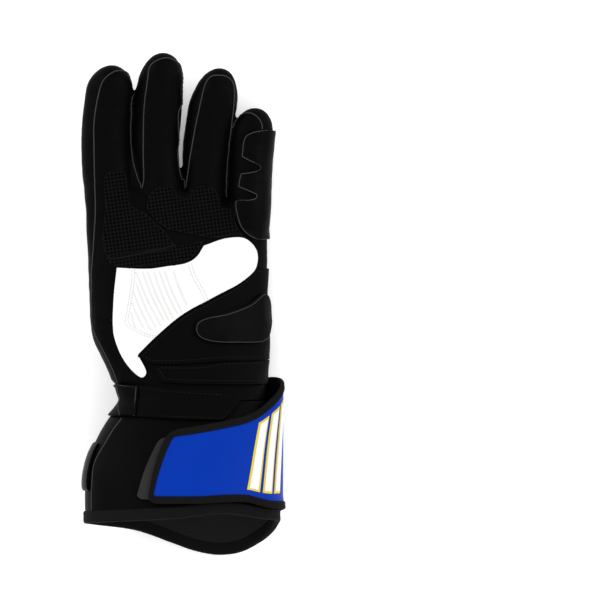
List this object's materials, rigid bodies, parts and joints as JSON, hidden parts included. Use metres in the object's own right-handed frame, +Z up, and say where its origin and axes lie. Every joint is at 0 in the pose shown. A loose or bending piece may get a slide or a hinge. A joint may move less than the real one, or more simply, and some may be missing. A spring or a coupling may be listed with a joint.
{
  "type": "motorcycle glove",
  "caption": "Left-hand motorcycle racing glove lying palm up: leather hand with textured grip patches, a white palm panel and a heel pad, wrist strap and flared gauntlet with a closing flap.",
  "frame": {"origin": "on the surface the glove rests on, under the middle of its length and width", "axes": "+Y towards the fingertips, +X towards the little finger, +Z up, the way the palm faces"},
  "size_m": [0.1308, 0.3204, 0.0888],
  "materials": {
    "black_leather": "smooth full-grain, low sheen",
    "white_leather": "smooth, with fans of stitching",
    "slider": "moulded, satin",
    "grip_rubber": "raised grid of small squares",
    "binding_tape": "woven tape, folded and stitched",
    "blue_leather": "smooth, satin",
    "hook_tab": "hook-and-loop tape",
    "lining_fabric": "knitted lining"
  },
  "bodies": {
    "root": {"palm_leather": "black_leather", "back_leather": "black_leather", "thumb_front": "black_leather", "thumb_back": "black_leather", "palm_white_panel": "white_leather", "heel_panel": "black_leather", "heel_slider": "slider", "wrist_panel": "black_leather", "grip_index": "grip_rubber", "grip_knuckles": "grip_rubber", "grip_lower": "grip_rubber", "little_finger_guard": "slider", "cuff_palm_side": "black_leather", "cuff_back_side": "black_leather", "cuff_lining": "lining_fabric", "cuff_guard": "slider", "rim_binding": "binding_tape", "wrist_strap": "black_leather", "strap_keeper": "black_leather", "flap_panel": "blue_leather", "flap_binding": "binding_tape", "flap_hook_tab": "hook_tab"}
  },
  "joints": []
}
